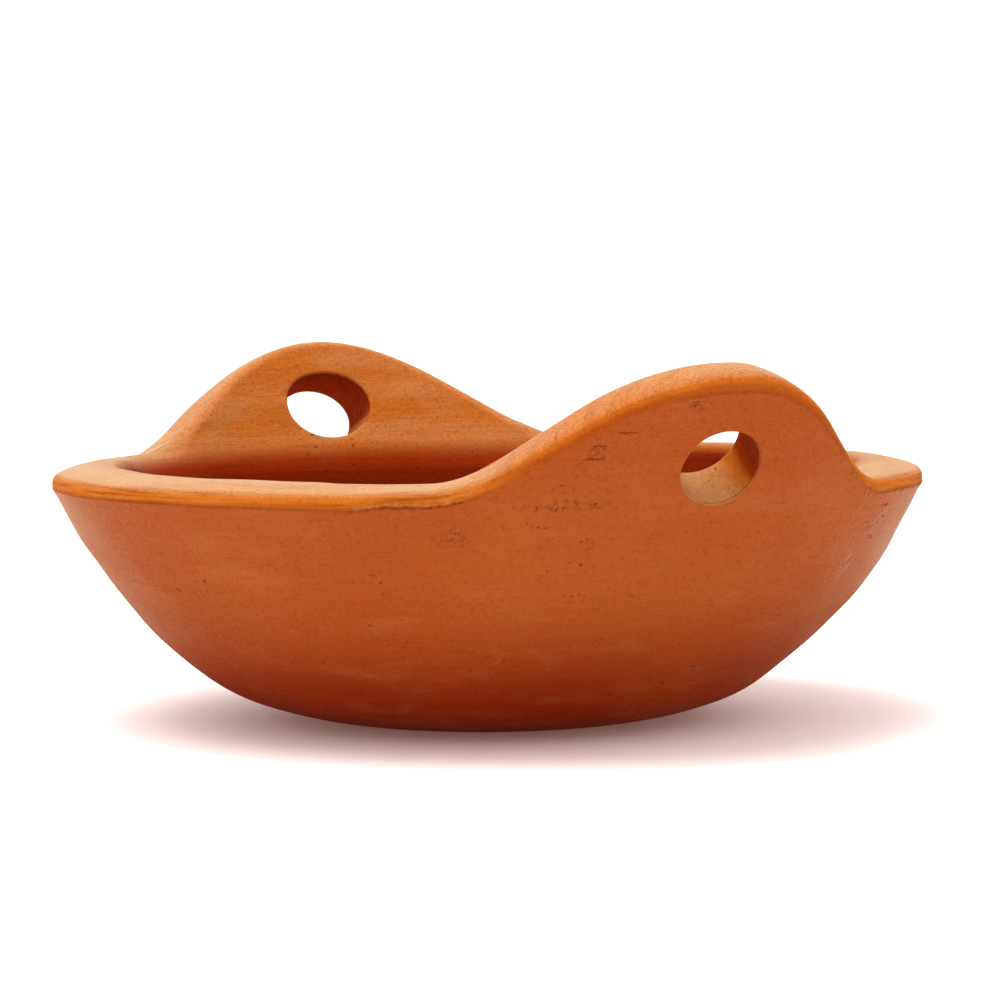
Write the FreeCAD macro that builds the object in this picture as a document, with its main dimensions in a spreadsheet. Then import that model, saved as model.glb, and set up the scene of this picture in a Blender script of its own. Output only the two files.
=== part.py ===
"""Terracotta bowl with two pierced lug handles, as a parametric FreeCAD document.

The pot is built up the way a potter builds it: a thrown round-bottomed shell, a thick rim band laid on
the shell's edge, two wave-shaped lugs let into the rim, and a thin coil of clay smoothed into the corner
behind each lug. Units are millimetres. Z is up, the origin is the centre of the flat the bowl rests on,
and the lugs stand at -Y (front) and +Y (back).
"""

import FreeCAD, Part
import Sketcher
import math
import os

from FreeCAD import Placement, Rotation, Vector

os.makedirs("parts", exist_ok=True)

doc = FreeCAD.newDocument("handled_bowl")

# Every driving dimension of the pot. Angles are in degrees, lengths in millimetres.
DIMENSIONS = {
    # shell, outside
    "rim_radius": 110.0,  # at the crease where the wall meets the rim's bevel
    "bowl_depth": 60.1,  # height of that crease above the table
    "wall_top_slope": 22.6,  # off vertical, at the crease
    "wall_curve_radius": 115.3,
    "turn_radius": 43.2,  # the turn from wall to base
    "base_curve_radius": 94.9,
    "base_flat_radius": 28.8,
    # shell, inside
    "floor_thickness": 9.5,
    "floor_flat_radius": 30.0,
    "floor_curve_radius": 58.0,
    "inner_wall_radius": 105.8,
    "throat_depth": 12.0,  # straight mouth below the crease
    # rim band
    "rim_height": 5.7,
    "rim_width": 16.8,
    "bevel_width": 9.2,
    "rim_inner_round": 3.0,
    # lug handles
    "lug_lean": 26.0,  # off vertical, outwards
    "lug_thickness": 13.5,
    "lug_proud": 0.05,  # stands this far out of the crease
    "lug_root": 3.0,  # its section runs this far below the crease before it is trimmed
    "crest_bevel_width": 9.0,
    "crease_share": 0.94,  # the part of a lug's rise that its outer crease makes
    "lug_rise": 28.0,  # crest above the top of the rim
    # the arcs that each lug takes up on either side of its crest, seen from above
    "front_clockwise_span": 37.4,
    "front_anticlockwise_span": 30.0,
    "back_clockwise_span": 41.6,
    "back_anticlockwise_span": 40.0,
    "front_crest_swing": 2.9,  # each lug's crest stands this far off the Y axis, towards +X
    "back_crest_swing": 1.7,
    # finger holes
    "hole_half_width": 11.1,
    "hole_half_height": 9.5,
    "hole_height": 12.6,  # centre above the crease, at the middle of the lug's thickness
    "hole_swing": 1.5,  # off the Y axis, towards +X
    # seam coils
    "coil_foot": 3.6,
    "coil_climb": 7.0,
    "coil_round": 16.0,
    "coil_embed": 2.0,  # its section runs this far into its neighbours before it is trimmed
}

# Sections stand at these shares of a lug's span: the seam coil stops short of the lug's ends.
STATIONS = [-0.92, -0.78, -0.63, -0.48, -0.32, -0.16, 0.0, 0.16, 0.32, 0.48, 0.63, 0.78, 0.92]
COIL_STATIONS = STATIONS[1:-1]
CREST_POWERS = {"front": 1.14, "back": 1.0}  # above 1, this broadens the crest of a lug's wave

# Angles off vertical where the profile's arcs join. The sketch solver starts from these.
WALL_TO_TURN = 54.0
TURN_TO_BASE = 70.6
INNER_WALL_TO_FLOOR = 61.0
THROAT_TO_INNER_WALL = 35.0

CUTTER_LENGTH = 60.0
SLAB_RADIUS = 160.0
SLAB_HEIGHT = 20.0

sheet = doc.addObject("Spreadsheet::Sheet", "Dims")
for row, (alias, value) in enumerate(DIMENSIONS.items(), start=1):
    sheet.set(f"A{row}", alias)
    sheet.set(f"B{row}", str(value))
    sheet.setAlias(f"B{row}", alias)
doc.recompute()


def amount(expression):
    """What an expression in the sheet's cells comes to, as a plain number."""
    result = sheet.evalExpression(expression)
    return float(getattr(result, "Value", result))


def origin_plane(body, role):
    """The plane of the body's own origin that has this role, such as XZ_Plane."""
    return next(feature for feature in body.Origin.OriginFeatures if feature.Role == role)


class Outline:
    """A sketch on a body's XZ plane, where x is the distance from the axis and y the height."""

    def __init__(self, body, name):
        self.sketch = body.newObject("Sketcher::SketchObject", name)
        self.sketch.AttachmentSupport = [(origin_plane(body, "XZ_Plane"), "")]
        self.sketch.MapMode = "FlatFace"

    def turn(self, angle_expression):
        """Swings the sketch's half plane round the Z axis."""
        self.sketch.AttachmentOffset = Placement(Vector(0, 0, 0), Rotation(Vector(0, 1, 0), 0))
        self.sketch.setExpression("AttachmentOffset.Rotation.Angle", angle_expression)

    def line(self, start, end):
        segment = Part.LineSegment(Vector(*start, 0), Vector(*end, 0))
        return self.sketch.addGeometry(segment, False)

    def arc(self, centre, radius, start_angle, end_angle):
        """An arc that runs anticlockwise between two angles in degrees from +x."""
        circle = Part.Circle(Vector(*centre, 0), Vector(0, 0, 1), radius)
        ends = (math.radians(start_angle), math.radians(end_angle))
        return self.sketch.addGeometry(Part.ArcOfCircle(circle, *ends), False)

    def tie(self, kind, *targets):
        """A constraint with no value, such as Tangent or Coincident."""
        self.sketch.addConstraint(Sketcher.Constraint(kind, *targets))

    def size(self, kind, *targets, to):
        """A constraint whose value is bound to an expression."""
        index = self.sketch.addConstraint(Sketcher.Constraint(kind, *targets, amount(to)))
        self.sketch.setExpression(f"Constraints[{index}]", to)

    def place(self, geometry, point, x, y):
        """Holds one point of the outline at two expressions from the sketch's origin."""
        self.size("DistanceX", -1, 1, geometry, point, to=x)
        self.size("DistanceY", -1, 1, geometry, point, to=y)


def turned(body, kind, name, outline):
    """A Revolution or Groove of an outline round the sketch's vertical axis."""
    feature = body.newObject(kind, name)
    feature.Profile = outline.sketch
    feature.ReferenceAxis = (outline.sketch, ["V_Axis"])
    feature.Angle = 360.0
    body.Tip = feature
    return feature


def draw_curve(outline, first_line, start, curves):
    """Draws tangent arcs upwards from the end of a floor line, and returns the last one.

    curves holds each arc's radius expression and the slope off vertical that the arc ends at.
    """
    previous, (x, y), slope = first_line, start, 90.0
    for radius_expression, end_slope in curves:
        radius = amount(radius_expression)
        centre = (x - radius * math.cos(math.radians(slope)), y + radius * math.sin(math.radians(slope)))
        edge = outline.arc(centre, radius, -slope, -end_slope)
        outline.tie("Tangent", previous, 2, edge, 1)
        outline.size("Radius", edge, to=radius_expression)
        x = centre[0] + radius * math.cos(math.radians(end_slope))
        y = centre[1] - radius * math.sin(math.radians(end_slope))
        previous, slope = edge, end_slope
    return previous


def draw_basin(outline, floor, floor_edge, curves, rim_x, rim_y, top):
    """A basin's half section: a flat floor, curves up to a rim point, a lip up to a top, and the axis."""
    edge_x, edge_y = amount(floor_edge), amount(floor)
    base = outline.line((0, edge_y), (edge_x, edge_y))
    outline.tie("PointOnObject", base, 1, -2)
    outline.tie("Horizontal", base)
    outline.size("DistanceX", -1, 1, base, 2, to=floor_edge)
    last = draw_curve(outline, base, (edge_x, edge_y), curves)
    outline.place(last, 2, rim_x, rim_y)
    rim_point, lip_point = (amount(rim_x), amount(rim_y)), (amount(rim_x), amount(top))
    corners = [lip_point, (0, amount(top)), (0, edge_y)]
    if rim_point != lip_point:
        corners.insert(0, rim_point)
    lines = [outline.line(start, end) for start, end in zip(corners, corners[1:])]
    for before, after in zip([last] + lines, lines + [base]):
        outline.tie("Coincident", before, 2, after, 1)
    if len(lines) == 3:
        outline.tie("Vertical", lines[0])
        outline.size("DistanceY", -1, 1, lines[0], 2, to=top)
    outline.tie("Horizontal", lines[-2])
    outline.tie("PointOnObject", lines[-2], 2, -2)
    return base, last


def make_shell():
    """The thrown bowl: three tangent arcs outside, and a cavity with a flat floor and a straight mouth."""
    body = doc.addObject("PartDesign::Body", "bowl_shell")
    outside = Outline(body, "shell_outside")
    base, wall = draw_basin(
        outside,
        floor="0",
        floor_edge="Dims.base_flat_radius",
        curves=[
            ("Dims.base_curve_radius", TURN_TO_BASE),
            ("Dims.turn_radius", WALL_TO_TURN),
            ("Dims.wall_curve_radius", amount("Dims.wall_top_slope")),
        ],
        rim_x="Dims.rim_radius",
        rim_y="Dims.bowl_depth",
        top="Dims.bowl_depth",
    )
    outside.tie("PointOnObject", base, 1, -1)
    wall_centre = "Dims.rim_radius - Dims.wall_curve_radius * cos(Dims.wall_top_slope * 1 deg)"
    outside.size("DistanceX", -1, 1, wall, 3, to=wall_centre)
    turned(body, "PartDesign::Revolution", "shell_solid", outside)
    doc.recompute()
    solid_volume = body.Shape.Volume
    cavity = Outline(body, "shell_cavity")
    cavity_base, _ = draw_basin(
        cavity,
        floor="Dims.floor_thickness",
        floor_edge="Dims.floor_flat_radius",
        curves=[
            ("Dims.floor_curve_radius", INNER_WALL_TO_FLOOR),
            ("Dims.inner_wall_radius", THROAT_TO_INNER_WALL),
        ],
        rim_x="Dims.rim_radius - Dims.rim_width",
        rim_y="Dims.bowl_depth - Dims.throat_depth",
        top="Dims.bowl_depth + Dims.rim_height",
    )
    cavity.size("DistanceY", -1, 1, cavity_base, 1, to="Dims.floor_thickness")
    turned(body, "PartDesign::Groove", "shell_hollow", cavity)
    doc.recompute()
    if body.Shape.Volume > 0.5 * solid_volume:
        raise ValueError("the cavity cut too little out of the shell")
    return body


def make_rim_body():
    """The rim band before the lugs are let in: bevelled outside, flat on top, rounded inside."""
    body = doc.addObject("PartDesign::Body", "rim_ring")
    outline = Outline(body, "rim_section")
    outer = amount("Dims.rim_radius")
    foot = amount("Dims.bowl_depth")
    rise, width = amount("Dims.rim_height"), amount("Dims.rim_width")
    bevel, inner_round = amount("Dims.bevel_width"), amount("Dims.rim_inner_round")
    top, inner = foot + rise, outer - width
    bevel_radius = (bevel**2 + rise**2) / (2 * rise)
    bevel_start = math.degrees(math.atan2(bevel_radius - rise, bevel))
    under = outline.line((inner, foot), (outer, foot))
    shoulder = outline.arc((outer - bevel, top - bevel_radius), bevel_radius, bevel_start, 90)
    flat = outline.line((outer - bevel, top), (inner + inner_round, top))
    corner = outline.arc((inner + inner_round, top - inner_round), inner_round, 90, 180)
    inside = outline.line((inner, top - inner_round), (inner, foot))
    outline.tie("Coincident", under, 2, shoulder, 1)
    outline.tie("Tangent", shoulder, 2, flat, 1)
    outline.tie("Tangent", flat, 2, corner, 1)
    outline.tie("Tangent", corner, 2, inside, 1)
    outline.tie("Coincident", inside, 2, under, 1)
    outline.place(under, 1, "Dims.rim_radius - Dims.rim_width", "Dims.bowl_depth")
    outline.place(under, 2, "Dims.rim_radius", "Dims.bowl_depth")
    outline.place(flat, 1, "Dims.rim_radius - Dims.bevel_width", "Dims.bowl_depth + Dims.rim_height")
    outline.tie("Horizontal", flat)
    outline.tie("Vertical", inside)
    outline.size("Radius", corner, to="Dims.rim_inner_round")
    turned(body, "PartDesign::Revolution", "rim_turned", outline)
    return body


def wave(side, station):
    """A lug's height at a share of its span: a raised cosine."""
    return math.cos(math.pi / 2 * abs(station) ** CREST_POWERS[side]) ** 2


def station_outline(body, name, side, station):
    """An outline whose half plane stands at a share of a lug's span from the -Y direction."""
    outline = Outline(body, name)
    sense = "clockwise" if station < 0 else "anticlockwise"
    outline.turn(f"Dims.{side}_{sense}_span * {station} * 1 deg - 90 deg")
    return outline


def lofted(body, name, outlines):
    """One solid through outlines with the same number of edges."""
    loft = body.newObject("PartDesign::AdditiveLoft", name)
    loft.Profile = outlines[0].sketch
    loft.Sections = [outline.sketch for outline in outlines[1:]]
    body.Tip = loft
    return loft


def lug_section(outline, lug_rise):
    """A leaning wall with a bevel up to its crest and a soft inner edge. lug_rise is an expression."""
    lean = "tan(Dims.lug_lean * 1 deg)"
    root_y = "(Dims.bowl_depth - Dims.lug_root)"
    outer_x = f"(Dims.rim_radius + Dims.lug_proud - Dims.lug_root * {lean})"
    inner_x = f"({outer_x} - Dims.lug_thickness / cos(Dims.lug_lean * 1 deg))"
    crease_rise = f"(Dims.crease_share * {lug_rise})"
    crease = (
        f"Dims.rim_radius + Dims.lug_proud + {crease_rise} * {lean}",
        f"Dims.bowl_depth + {crease_rise}",
    )
    crest = (
        f"{crease[0]} - Dims.crest_bevel_width",
        f"Dims.bowl_depth + Dims.rim_height + {lug_rise}",
    )

    root_outer = (amount(outer_x), amount(root_y))
    root_inner = (amount(inner_x), amount(root_y))
    crease_point = tuple(amount(value) for value in crease)
    crest_point = tuple(amount(value) for value in crest)
    slope = math.radians(amount("Dims.lug_lean"))
    fall = crest_point[1] - crease_point[1]
    reach = crease_point[0] - crest_point[0]
    bevel_radius = (reach**2 + fall**2) / (2 * fall)
    ledge = crest_point[0] - root_inner[0] - (crest_point[1] - root_inner[1]) * math.tan(slope)
    edge_radius = ledge / (1 / math.cos(slope) - math.tan(slope))
    edge_centre = (crest_point[0], crest_point[1] - edge_radius)
    edge_end = (
        edge_centre[0] - edge_radius * math.cos(slope),
        edge_centre[1] + edge_radius * math.sin(slope),
    )

    outer = outline.line(root_outer, crease_point)
    bevel_start = math.degrees(math.atan2(bevel_radius - fall, reach))
    bevel = outline.arc((crest_point[0], crest_point[1] - bevel_radius), bevel_radius, bevel_start, 90)
    edge = outline.arc(edge_centre, edge_radius, 90, 180 - math.degrees(slope))
    inner = outline.line(root_inner, edge_end)
    root = outline.line(root_inner, root_outer)
    outline.tie("Coincident", root, 2, outer, 1)
    outline.tie("Coincident", root, 1, inner, 1)
    outline.tie("Coincident", outer, 2, bevel, 1)
    outline.tie("Coincident", bevel, 2, edge, 1)
    outline.tie("Tangent", edge, 2, inner, 2)
    outline.place(root, 1, inner_x, root_y)
    outline.place(root, 2, outer_x, root_y)
    outline.place(outer, 2, *crease)
    outline.place(bevel, 2, *crest)
    outline.size("DistanceX", -1, 1, bevel, 3, to=crest[0])
    outline.size("DistanceX", -1, 1, edge, 3, to=crest[0])
    outline.size("Angle", inner, to="90 deg - Dims.lug_lean * 1 deg")


def coil_section(outline, share):
    """A concave wedge in the corner of the rim's top and a lug's inner face, scaled by a share."""
    lean = "tan(Dims.lug_lean * 1 deg)"
    corner_x = (
        f"(Dims.rim_radius + Dims.lug_proud + Dims.rim_height * {lean}"
        " - Dims.lug_thickness / cos(Dims.lug_lean * 1 deg))"
    )
    corner_y = "(Dims.bowl_depth + Dims.rim_height)"
    foot_x = f"{corner_x} - Dims.coil_foot * {share}"
    climb = f"Dims.coil_climb * {share}"
    under_y = f"{corner_y} - Dims.coil_embed"
    corners = [
        (f"{corner_x} + {climb} * {lean}", f"{corner_y} + {climb}"),
        (f"{corner_x} + {climb} * {lean} + Dims.coil_embed", f"{corner_y} + {climb}"),
        (f"{corner_x} + Dims.coil_embed", under_y),
        (foot_x, under_y),
        (foot_x, corner_y),
    ]
    points = [(amount(x), amount(y)) for x, y in corners]
    lines = [outline.line(start, end) for start, end in zip(points, points[1:])]
    for line, corner in zip(lines, corners[1:]):
        outline.place(line, 2, *corner)
    outline.place(lines[0], 1, *corners[0])
    for before, after in zip(lines, lines[1:]):
        outline.tie("Coincident", before, 2, after, 1)
    radius = amount(f"Dims.coil_round * {share}")
    foot, tip = Vector(*points[4], 0), Vector(*points[0], 0)
    chord = tip - foot
    across = Vector(-chord.y, chord.x, 0).normalize()
    centre = (foot + tip) * 0.5 + across * math.sqrt(radius**2 - (chord.Length / 2) ** 2)
    angles = [math.degrees(math.atan2(p.y - centre.y, p.x - centre.x)) for p in (foot, tip)]
    hollow = outline.arc((centre.x, centre.y), radius, *angles)
    outline.tie("Coincident", hollow, 1, lines[3], 2)
    outline.tie("Coincident", hollow, 2, lines[0], 1)
    outline.size("Radius", hollow, to=f"Dims.coil_round * {share}")


def make_lug_body(side):
    """A lug before it is trimmed: a loft through sections round the rim, rising and falling as a wave."""
    body = doc.addObject("PartDesign::Body", f"{side}_lug_form")
    outlines = []
    for index, station in enumerate(STATIONS):
        outline = station_outline(body, f"{side}_lug_{index}", side, station)
        lug_section(outline, f"(Dims.lug_rise * {wave(side, station):.5f})")
        outlines.append(outline)
    doc.recompute()
    lofted(body, f"{side}_lug_loft", outlines)
    return body


def make_coil_body(side):
    """A seam coil before it is trimmed, fading out with the lug that it backs."""
    body = doc.addObject("PartDesign::Body", f"{side}_coil_form")
    outlines = []
    for index, station in enumerate(COIL_STATIONS):
        outline = station_outline(body, f"{side}_coil_{index}", side, station)
        coil_section(outline, f"{math.sqrt(wave(side, station)):.5f}")
        outlines.append(outline)
    doc.recompute()
    lofted(body, f"{side}_coil_loft", outlines)
    return body


def make_hole_cutter(side):
    """An oval rod square to the lug's leaning wall, through the middle of its thickness."""
    body = doc.addObject("PartDesign::Body", f"{side}_hole_cutter")
    sketch = body.newObject("Sketcher::SketchObject", f"{side}_hole_oval")
    sketch.AttachmentSupport = [(origin_plane(body, "XZ_Plane"), "")]
    sketch.MapMode = "FlatFace"
    sketch.AttachmentOffset = Placement(Vector(0, 0, 0), Rotation(Vector(1, 0, 0), 0))
    sketch.setExpression("AttachmentOffset.Rotation.Angle", "Dims.lug_lean * 1 deg")
    sketch.setExpression("AttachmentOffset.Base.y", "(Dims.bowl_depth + Dims.hole_height) * 1 mm")
    sketch.setExpression(
        "AttachmentOffset.Base.z",
        "(Dims.rim_radius + Dims.hole_height * tan(Dims.lug_lean * 1 deg)"
        " - Dims.lug_thickness / 2 / cos(Dims.lug_lean * 1 deg)) * 1 mm",
    )
    half_width, half_height = amount("Dims.hole_half_width"), amount("Dims.hole_half_height")
    oval = Part.Ellipse(Vector(0, 0, 0), half_width, half_height)
    edge = sketch.addGeometry(oval, False)
    sketch.exposeInternalGeometry(edge)
    sketch.addConstraint(Sketcher.Constraint("Coincident", edge, 3, -1, 1))
    major, minor = edge + 1, edge + 2
    sketch.addConstraint(Sketcher.Constraint("Horizontal", major))
    for line, length, cell in (
        (major, 2 * half_width, "hole_half_width"),
        (minor, 2 * half_height, "hole_half_height"),
    ):
        index = sketch.addConstraint(Sketcher.Constraint("Distance", line, length))
        sketch.setExpression(f"Constraints[{index}]", f"2 * Dims.{cell}")
    doc.recompute()
    pad = body.newObject("PartDesign::Pad", f"{side}_hole_pad")
    pad.Profile = sketch
    pad.SideType = "Symmetric"
    pad.Length = CUTTER_LENGTH
    body.Tip = pad
    return body


def make_cut(name, base, tools):
    """A base with several tools taken out of it."""
    tool = doc.addObject("Part::MultiFuse", f"{name}_tools")
    tool.Shapes = tools
    cut = doc.addObject("Part::Cut", name)
    cut.Base = base
    cut.Tool = tool
    return cut


bowl_shell = make_shell()
rim_ring = make_rim_body()

slab = doc.addObject("Part::Cylinder", "trim_slab")
slab.Radius = SLAB_RADIUS
slab.Height = SLAB_HEIGHT
slab.setExpression("Placement.Base.z", "(Dims.bowl_depth - trim_slab.Height / 1 mm) * 1 mm")

handles = {}
seam_coils = {}
lug_forms = []
for side in ("front", "back"):
    lug, coil, cutter = make_lug_body(side), make_coil_body(side), make_hole_cutter(side)
    crest_swing = f"{side}_crest_swing"
    for body, swing in ((lug, crest_swing), (coil, crest_swing), (cutter, "hole_swing")):
        facing = f"Dims.{swing} * 1 deg" if side == "front" else f"180 deg - Dims.{swing} * 1 deg"
        body.setExpression("Placement.Rotation.Angle", facing)
    handles[side] = make_cut(f"{side}_handle", lug, [slab, cutter])
    seam_coils[side] = make_cut(f"{side}_seam_coil", coil, [rim_ring, lug, cutter])
    lug_forms.append(lug)

rim_band = make_cut("rim_band", rim_ring, lug_forms)
doc.recompute()

SUB_PARTS = [bowl_shell, rim_band, *handles.values(), *seam_coils.values()]

failed = [item.Name for item in doc.Objects if {"Invalid", "Error"} & set(item.State)]
if failed:
    raise RuntimeError(f"these objects failed to recompute: {failed}")
for part in SUB_PARTS:
    if part.Shape.isNull() or not part.Shape.isValid():
        raise RuntimeError(f"{part.Label} has no valid shape")
    if not part.Shape.Solids:
        raise RuntimeError(f"{part.Label} is not solid")

for part in SUB_PARTS:
    part.Shape.exportStep(f"parts/{part.Label}.step")
    print(f"{part.Label}: {len(part.Shape.Solids)} solid, {part.Shape.Volume / 1000:.1f} cubic centimetres")
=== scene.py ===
"""Looks for the terracotta bowl with two pierced lug handles.

The whole pot is worked out as one continuous surface: rows run up the outside from the foot, over the
crease and crest or rim, and down the inside to the floor, and columns run round the bowl. The surface is
then split into the six pieces that stand for the six CAD nodes, each closed by hidden faces inside the
clay. Lengths in the shape code are millimetres. Angles are degrees from -Y towards +X.
"""

import math

import bpy
import numpy as np
from mathutils import Euler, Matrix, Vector


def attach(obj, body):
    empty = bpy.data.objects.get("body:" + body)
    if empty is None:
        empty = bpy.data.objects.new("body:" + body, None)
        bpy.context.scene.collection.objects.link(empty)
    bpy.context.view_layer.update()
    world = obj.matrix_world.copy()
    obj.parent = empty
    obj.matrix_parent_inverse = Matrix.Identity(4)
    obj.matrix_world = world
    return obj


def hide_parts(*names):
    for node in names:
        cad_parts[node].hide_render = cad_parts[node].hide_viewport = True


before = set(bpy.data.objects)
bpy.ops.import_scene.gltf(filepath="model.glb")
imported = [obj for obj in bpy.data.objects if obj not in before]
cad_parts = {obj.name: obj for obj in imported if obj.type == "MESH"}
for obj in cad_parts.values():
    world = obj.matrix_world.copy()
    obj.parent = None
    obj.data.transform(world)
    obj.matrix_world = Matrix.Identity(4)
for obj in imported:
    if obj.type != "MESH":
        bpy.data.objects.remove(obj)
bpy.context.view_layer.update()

MM = 0.001

# Shell and rim, as the CAD has them.
RIM_RADIUS = 110.0
CREASE_HEIGHT = 60.1
RIM_RISE = 5.7
LIP_RADIUS = 93.2
BEVEL_WIDTH = 9.2
LIP_ROUND = 3.0
WALL_SLOPE = math.tan(math.radians(22.6))
OUTSIDE = dict(start=(28.8, 0.0), arcs=[(94.9, 90.0, 70.514), (43.2, 70.514, 53.889), (115.3, 53.889, 22.6)])
FLOOR_THICKNESS = 9.5
MOUTH_POINT = 48.4  # height of a point on the straight mouth, just above the curved inner wall
INSIDE = dict(start=(30.0, FLOOR_THICKNESS), arcs=[(58.0, 90.0, 61.171), (105.8, 61.171, 35.392)])

# Lug handles. Spans and powers come in pairs: towards smaller angles, then towards larger ones.
LEAN = math.tan(math.radians(26.0))
LUG_FOOT_RADIUS = 97.8  # where the inner face would meet the top of the rim
LUGS = {
    "front": dict(
        centre=1.5, crest=2.9, rise=27.6, spans=(37.4, 30.0), powers=(1.24, 1.04), columns=(-117, 102),
        outer_hole=dict(turn=0.15, height=8.55, half_turn=5.25, half_height=8.6),
        inner_hole=dict(turn=0.2, height=16.0, half_turn=6.3, half_height=8.7),
    ),
    "back": dict(
        centre=178.5, crest=178.3, rise=27.9, spans=(41.6, 40.0), powers=(1.0, 1.0), columns=(-136, 129),
        outer_hole=dict(turn=0.3, height=10.6, half_turn=5.4, half_height=8.8),
        inner_hole=dict(turn=0.4, height=16.2, half_turn=6.9, half_height=8.7),
    ),
}
LUG_STEP = 0.3  # degrees between columns across a lug
RIM_STEP = 0.45
PATCH_COLUMNS = 32  # columns each side of a finger hole that make room for it
PATCH_ROWS = 47
PATCH_RINGS = 9
TUNNEL_MARK = 400.0  # stands for the distance from the crease inside a finger hole

# Rows of the whole surface, from the centre of the foot to the centre of the floor inside.
FOOT_TO_SEAM = 71
SEAM_TO_CREASE = 56
CREASE_TO_APEX = 22
APEX_TO_COIL = 60
COIL = 10
COIL_TO_MOUTH = 20
MOUTH_TO_FLOOR = 26

SEAM = FOOT_TO_SEAM
CREASE = SEAM + SEAM_TO_CREASE
APEX = CREASE + CREASE_TO_APEX
COIL_TOP = APEX + APEX_TO_COIL
COIL_FOOT = COIL_TOP + COIL
MOUTH = COIL_FOOT + COIL_TO_MOUTH
LAST = MOUTH + MOUTH_TO_FLOOR


def smooth(value):
    """An S-shaped ramp from 0 to 1."""
    value = np.clip(value, 0.0, 1.0)
    return value * value * (3.0 - 2.0 * value)


def curve_through(points, count):
    """A smooth open curve through a few points, sampled evenly by parameter."""
    points = np.array(points, float)
    padded = np.vstack([2 * points[0] - points[1], points, 2 * points[-1] - points[-2]])
    position = np.linspace(0, len(points) - 1, count)
    index = np.minimum(position.astype(int), len(points) - 2)
    t = (position - index)[:, None]
    before, start, end, after = (padded[index + k] for k in range(4))
    return 0.5 * (
        2 * start
        + (end - before) * t
        + (2 * before - 5 * start + 4 * end - after) * t**2
        + (3 * start - before - 3 * end + after) * t**3
    )


def arc_chain(start, arcs, samples=60):
    """Points along tangent arcs. Each arc has a radius and its first and last slope off vertical."""
    x, y = start
    points = [(x, y)]
    for radius, first, last in arcs:
        centre_x = x - radius * math.cos(math.radians(first))
        centre_y = y + radius * math.sin(math.radians(first))
        for slope in np.linspace(first, last, samples + 1)[1:]:
            x = centre_x + radius * math.cos(math.radians(slope))
            y = centre_y - radius * math.sin(math.radians(slope))
            points.append((x, y))
    return np.array(points)


def along(points):
    """Distance along a polyline at each of its points."""
    steps = np.hypot(*np.diff(points, axis=0).T)
    return np.concatenate([[0.0], np.cumsum(steps)])


def offset_from(angle, centre):
    """Degrees from a centre, from -180 to 180."""
    return (angle - centre + 180.0) % 360.0 - 180.0


def lug_share(angle, lug):
    """A lug's height at an angle, as a share of its full rise: a raised cosine."""
    offset = offset_from(angle, lug["crest"])
    side = (offset > 0).astype(int)
    reach = np.clip(np.abs(offset) / np.array(lug["spans"])[side], 0, 1)
    return np.cos(math.pi / 2 * reach ** np.array(lug["powers"])[side]) ** 2


def lug_rise(angle):
    return sum(lug["rise"] * lug_share(angle, lug) for lug in LUGS.values())


def nearest_share(angle):
    return sum(lug_share(angle, lug) for lug in LUGS.values())


def make_columns():
    """Angles round the bowl, and each lug's first and last column."""
    angles, zones = [], {}
    names = list(LUGS)
    for name, following in zip(names, names[1:] + names[:1]):
        lug, after = LUGS[name], LUGS[following]
        first, last = lug["columns"]
        steps = np.arange(first, last)
        zones[name] = (len(angles), len(angles) + len(steps), len(angles) - first)
        angles.extend(lug["centre"] + steps * LUG_STEP)
        start = lug["centre"] + last * LUG_STEP
        end = after["centre"] + after["columns"][0] * LUG_STEP
        gap = (end - start) % 360.0
        count = round(gap / RIM_STEP)
        angles.extend(start + gap * np.arange(count) / count)
    return np.array(angles), zones


ANGLES, ZONES = make_columns()
COLUMNS = len(ANGLES)
RISE = lug_rise(ANGLES)

OUTER_WALL = np.vstack([[0.0, 0.0], arc_chain(**OUTSIDE)])
OUTER_WALL[-1] = RIM_RADIUS, CREASE_HEIGHT  # exactly where the crease is
INNER_WALL = np.vstack([[0.0, FLOOR_THICKNESS], arc_chain(**INSIDE), [LIP_RADIUS, MOUTH_POINT]])[::-1]

# The shoulder from the crease to the top: a steep lower band, a bend and a sloping top. Where a hand has
# smoothed the crease away, the soft one stands out further and bends sooner.
SHOULDER_SAMPLES = 161
SHOULDER_TOP = [(-6.8, 5.3), (-BEVEL_WIDTH, RIM_RISE)]
CRISP_SHOULDER = curve_through(
    [(0, 0), (0.1, 0.8), (0.08, 1.7), (-0.15, 2.6), (-0.85, 3.4), (-2.3, 4.1), (-4.4, 4.75)] + SHOULDER_TOP,
    SHOULDER_SAMPLES,
)
SOFT_SHOULDER = curve_through(
    [(0, 0), (0.3, 0.8), (0.3, 1.6), (-0.1, 2.5), (-1.0, 3.3), (-2.5, 4.05), (-4.6, 4.75)] + SHOULDER_TOP,
    SHOULDER_SAMPLES,
)


def window(angle, first, last, blend):
    """1 between two angles, falling smoothly to 0 outside them."""
    middle, half = (first + last) / 2, (last - first) / 2
    return 1 - smooth((np.abs(offset_from(angle, middle)) - half) / blend)


def flare(angle):
    """How far the crease stands out beyond the wall's curve: not at all under a lug's outer face."""
    return 0.65 * (1 - smooth(4.0 * nearest_share(angle)))


def shoulder_curve(angle):
    softness = window(angle, -27.0, -8.0, 7.0)
    return CRISP_SHOULDER + softness * (SOFT_SHOULDER - CRISP_SHOULDER)


def seam_depth(angle):
    """How far below the crease plane a lug's outer face is let into the wall."""
    return 4.0 * smooth(3.0 * nearest_share(angle))


def face_radius(height):
    """Radius of a lug's outer face at a height above the crease plane."""
    settle = 4.0
    height = np.maximum(height, 0.0)
    return RIM_RADIUS + LEAN * height - (LEAN - WALL_SLOPE) * settle * (1 - np.exp(-height / settle))


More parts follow.
